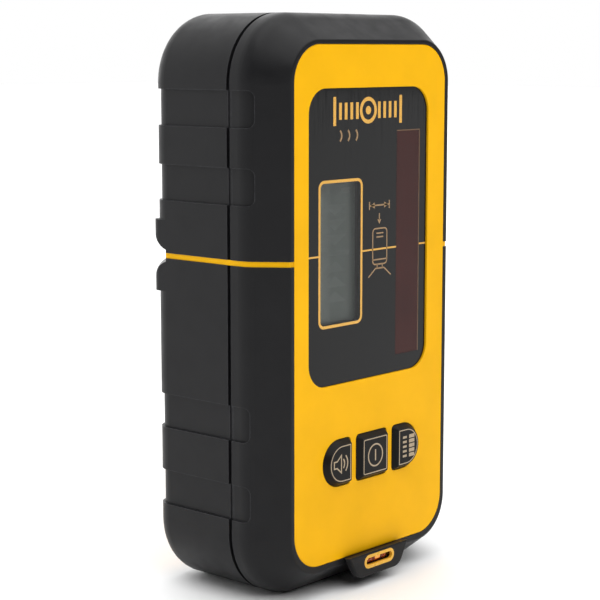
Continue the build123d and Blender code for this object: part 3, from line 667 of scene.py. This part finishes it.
def display_segments():
    """Unlit segments of the display: arrows below and above a middle bar, and two bars at the top."""
    low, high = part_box("lcd_glass")
    x, z = (lens_low.x + lens_high.x) / 2, line_z + reference_rise
    gap, pitch, tall, half_wide = 2.2, 4.4, 3.2, 5.0
    fills = [from_middle(box_points(-6.2, 6.2, -0.6, 0.6), x, z)]
    for way in (-1, 1):
        for step in range(3):
            near = way * (gap + pitch * step)
            far = near + way * tall
            fills.append(from_middle([(-half_wide, far), (half_wide, far), (0, near)][::way], x, z))
    for left, right in ((-6.4, -2.6), (2.6, 6.4)):
        fills.append(from_middle(box_points(left, right, 17.2, 18.8), x, z))
    printed("display_segments", low.y, segment_grey, "case", (), fills)


# ---------------------------------------------------------------- print on the keys
def key_face(key):
    """The face of a key inside its slanted sides: its x and z ends and its y."""
    low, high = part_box(key)
    inset = key_flange + key_bevel
    return low.x + inset, high.x - inset, low.z + inset, high.z - inset, low.y


def key_outline(key):
    """A line just inside the face's edge. The outer keys have a round outer side."""
    x0, x1, z0, z1, _ = key_face(key)
    inset = key_frame_inset
    x0, x1, z0, z1 = x0 + inset, x1 - inset, z0 + inset, z1 - inset
    if key == "power_key":
        return rounded_box(x0, x1, z0, z1, 0.5 * mm)
    radius, middle = (z1 - z0) / 2, (z0 + z1) / 2
    if key == "accuracy_key":
        return [(x0, z0)] + arc((x1 - radius, middle), radius, -90, 90, 20) + [(x0, z1)]
    return [(x1, z1)] + arc((x0 + radius, middle), radius, 90, 270, 20) + [(x1, z0)]


def key_print(key, strokes, fills):
    """A key's outline and its symbol, as one piece that rides on the key."""
    surface = key_face(key)[4]
    outline = stroke(key_outline(key), 0.3 * mm, True)
    printed(key + "_print", surface, print_key, key, [outline] + strokes, fills)


def key_middle(key):
    x0, x1, z0, z1, _ = key_face(key)
    return (x0 + x1) / 2, (z0 + z1) / 2


def power_print():
    """A ring with an upright bar."""
    x, z = key_middle("power_key")
    bar = stroke(from_middle([(0, -1.7), (0, 1.7)], x, z), 0.5 * mm)
    key_print("power_key", [stroke(ring((x, z), 3.3 * mm), key_symbol_line, True), bar], [])


def volume_print():
    """A loudspeaker with two waves."""
    x, z = key_middle("volume_key")
    cone = [(-3.0, -1.0), (-1.7, -1.0), (0.2, -2.6), (0.2, 2.6), (-1.7, 1.0), (-3.0, 1.0)]
    speaker = from_middle(cone, x, z)
    waves = [stroke(arc((x - 0.4 * mm, z), radius * mm, -42, 42), key_symbol_line) for radius in (2.0, 3.4)]
    key_print("volume_key", [stroke(speaker, 0.4 * mm, True)] + waves, [])


def accuracy_print():
    """Two columns of bars, narrow and wide, for the fine and coarse settings."""
    x, z = key_middle("accuracy_key")
    bars = []
    pitch = 1.45
    for left, right, thick in ((-2.7, -0.9, 0.35), (0.3, 2.9, 0.55)):
        for step in range(-2, 3):
            middle = step * pitch
            bars.append(from_middle(box_points(left, right, middle - thick, middle + thick), x, z))
    key_print("accuracy_key", [], bars)


# ---------------------------------------------------------------- spirit vial
def capsule(name, centre, radius, length, look):
    """A bar along x with domed ends."""
    rows, around = 7, 28
    profile = []
    for side in (-1, 1):
        turns = range(rows + 1) if side < 0 else range(rows, -1, -1)
        for step in turns:
            angle = pi / 2 * step / rows
            profile.append((side * (length / 2 - radius * (1 - sin(pi / 2 - angle))), radius * sin(angle)))
    mesh = bmesh.new()
    angles = [tau * k / around for k in range(around)]
    loops = [
        [mesh.verts.new(centre + Vector((x, size * cos(a), size * sin(a)))) for a in angles]
        for x, size in profile[1:-1]
    ]
    for near, far in zip(loops, loops[1:]):
        bridge(mesh, near, far)
    for end, x in ((loops[0], profile[0][0]), (loops[-1], profile[-1][0])):
        tip = mesh.verts.new(centre + Vector((x, 0, 0)))
        for k in range(around):
            mesh.faces.new((end[k], end[(k + 1) % around], tip))
    made = new_object(name, mesh)
    made.data.shade_smooth()
    paint(made, look)
    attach(made, "case")
    return made


def vial():
    """The spirit and its bubble, which floats a little above its middle."""
    low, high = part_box("vial_liquid")
    centre, radius = (low + high) / 2, (high.z - low.z) / 2
    spirit = capsule("vial_spirit", centre, radius, high.x - low.x, looks["vial_amber"])
    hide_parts("vial_liquid")
    floats = Vector((bubble_drift, -radius * bubble_forward, radius * bubble_up))
    capsule("vial_bubble", centre + floats, radius * bubble_thick, bubble_long, bubble_painted_glow_look())


# ---------------------------------------------------------------- threaded insert
def insert_thread():
    """A brass insert: knurled outside, a V thread inside, with a chamfered mouth."""
    x, z = (insert_low.x + insert_high.x) / 2, line_z
    outer = (insert_high.x - insert_low.x) / 2
    around, per_turn = 72, 8
    long = insert_high.y - insert_low.y
    count = round(long / thread_pitch * per_turn)
    thread_depth = thread_major - thread_minor
    angles = [tau * k / around for k in range(around)]

    def bore(y, turn):
        """The bore's radius: the thread, and a chamfer at each end."""
        phase = (y / thread_pitch - turn) % 1.0
        groove = (1 - abs(2 * phase - 1)) * thread_depth
        end = min(y - insert_low.y, insert_high.y - y)
        return thread_minor + max(groove, thread_depth - end)

    def outside(step, k):
        """The outer radius: knurled, but plain at both ends."""
        return outer - knurl_depth * ((step + k) % 2) if 0 < step < count else outer

    mesh = bmesh.new()
    inner_rows, outer_rows = [], []
    for step in range(count + 1):
        y = insert_low.y + long * step / count
        inner_rows.append([mesh.verts.new((x + bore(y, a / tau) * cos(a), y, z + bore(y, a / tau) * sin(a)))
                           for a in angles])
        outer_rows.append([mesh.verts.new((x + outside(step, k) * cos(a), y, z + outside(step, k) * sin(a)))
                           for k, a in enumerate(angles)])
    bands = list(zip(inner_rows, inner_rows[1:])) + list(zip(outer_rows, outer_rows[1:]))
    bands += [(inner_rows[0], outer_rows[0]), (inner_rows[-1], outer_rows[-1])]
    for near, far in bands:
        bridge(mesh, near, far)
    made = new_object("insert_thread", mesh)
    paint(made, looks["brass"])
    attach(made, "case")
    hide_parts("threaded_insert")


# ---------------------------------------------------------------- battery
def battery_rims():
    """Rolled steel rims at the foot and the top of the battery's jacket."""
    low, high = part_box("battery")
    jacket_top = high.z - terminals_tall
    path = rounded_box(low.x, high.x, low.y, high.y, rim_corner)
    around = 8
    angles = [tau * k / around for k in range(around)]
    mesh = bmesh.new()
    for z in (low.z + rim_half, jacket_top - rim_half):
        loops = []
        for step, (x, y) in enumerate(path):
            ahead = Vector(path[(step + 1) % len(path)]) - Vector(path[step - 1])
            way = atan2(ahead.y, ahead.x) - pi / 2
            section = [(rim_half / 2 * cos(a), rim_half * sin(a)) for a in angles]
            loops.append([mesh.verts.new((x + out * cos(way), y + out * sin(way), z + up))
                          for out, up in section])
        for near, far in zip(loops, loops[1:] + loops[:1]):
            bridge(mesh, near, far)
    made = new_object("battery_rims", mesh)
    made.data.shade_smooth()
    paint(made, looks["steel"])
    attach(made, "case")


def polarity_marks():
    """Plus and minus on the back of the battery's jacket."""
    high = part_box("battery")[1]
    x, z = terminals_apart / 2, high.z - polarity_drop
    across, upright = [(-1.6, 0), (1.6, 0)], [(0, -1.6), (0, 1.6)]
    strokes = ((-x, across), (-x, upright), (x, across))
    lines = [stroke(from_middle(points, middle, z), 0.7 * mm) for middle, points in strokes]
    printed("polarity_marks", high.y, print_grey, "case", lines)


def door_arrow():
    """A faint arrow in the battery door's own plastic, pointing at its hinge."""
    low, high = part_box("battery_door")
    arrow = from_middle([(-3.0, 0), (3.0, 0), (0, 3.6)], 0, low.z + 12.5 * mm)
    printed("door_arrow", high.y, looks["black_plastic"], "battery_door", (), [arrow])


for make in (display_outline, reference_line, level_scale, sound_marks, offset_mark, clamp_mark,
             sensor_painted_highlight, display_segments, power_print, volume_print, accuracy_print, vial, insert_thread,
             battery_rims, polarity_marks, door_arrow):
    make()


# ---------------------------------------------------------------- floor, light and camera
def floor():
    """A pale sheet, a hair under the case's foot."""
    mesh = bmesh.new()
    reach = 6.0
    corners = [mesh.verts.new((x, y, -ink_proud)) for x, y in
               ((-reach, -reach), (reach, -reach), (reach, reach), (-reach, reach))]
    mesh.faces.new(corners)
    made = new_object("floor", mesh)
    look = Look("floor", (0.93, 0.93, 0.93), 0.7)
    paper = look.spread(look.noise(60 * mm, 4.0), 0.3, 0.7)
    look.set("Base Color", look.blend(paper, (0.92, 0.92, 0.92), (0.94, 0.94, 0.94)))
    paint(made, look)


def sunlight(name, azimuth, elevation, strength, spread):
    """Light from far off, as wide as a softbox overhead. The angles say where it comes from."""
    data = bpy.data.lights.new(name, "SUN")
    data.energy = strength
    data.angle = radians(spread)
    made = bpy.data.objects.new(name, data)
    bpy.context.scene.collection.objects.link(made)
    made.rotation_euler = direction(azimuth, elevation).to_track_quat("Z", "Y").to_euler()


def direction(azimuth, elevation):
    """The way from the object to a place at that azimuth and elevation, in degrees."""
    a, e = radians(azimuth), radians(elevation)
    return Vector((sin(a) * cos(e), -cos(a) * cos(e), sin(e)))


def studio():
    """A key light, and a pale room that is darker in front of the display."""
    sunlight("key_light", sun_azimuth, sun_elevation, sun_power, sun_spread)
    world = bpy.data.worlds.new("studio")
    world.use_nodes = True
    bpy.context.scene.world = world
    tree = world.node_tree
    way = tree.nodes.new("ShaderNodeTexCoord").outputs["Generated"]
    towards = tree.nodes.new("ShaderNodeVectorMath")
    towards.operation = "DOT_PRODUCT"
    towards.inputs[1].default_value = direction(dark_azimuth, 0)
    tree.links.new(way, towards.inputs[0])
    dim = tree.nodes.new("ShaderNodeMapRange")
    for socket, value in (("From Min", room_bright_from), ("From Max", room_dark_from),
                          ("To Min", room_bright), ("To Max", room_dark)):
        dim.inputs[socket].default_value = value
    tree.links.new(towards.outputs["Value"], dim.inputs["Value"])
    lit = tree.nodes.new("ShaderNodeBackground")
    tree.links.new(dim.outputs["Result"], lit.inputs["Strength"])
    lit.inputs["Color"].default_value = (1, 1, 1, 1)
    seen = tree.nodes["Background"]
    seen.inputs["Color"].default_value = (1, 1, 1, 1)
    mixed = tree.nodes.new("ShaderNodeMixShader")
    tree.links.new(tree.nodes.new("ShaderNodeLightPath").outputs["Is Camera Ray"], mixed.inputs["Fac"])
    tree.links.new(lit.outputs["Background"], mixed.inputs[1])
    tree.links.new(seen.outputs["Background"], mixed.inputs[2])
    tree.links.new(mixed.outputs["Shader"], tree.nodes["World Output"].inputs["Surface"])


def camera():
    """A long lens, aimed from the left and a little above."""
    back = direction(camera_azimuth, camera_elevation)
    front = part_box("front_housing")[0].y
    target = Vector((-aim_left, front, case_height / 2 + aim_rise))
    data = bpy.data.cameras.new("camera")
    data.lens = camera_lens
    made = bpy.data.objects.new("camera", data)
    bpy.context.scene.collection.objects.link(made)
    made.location = target + back * camera_distance
    made.rotation_euler = (-back).to_track_quat("-Z", "Y").to_euler()
    bpy.context.scene.camera = made


floor()
studio()
camera()
bpy.context.scene.view_settings.view_transform = "Standard"
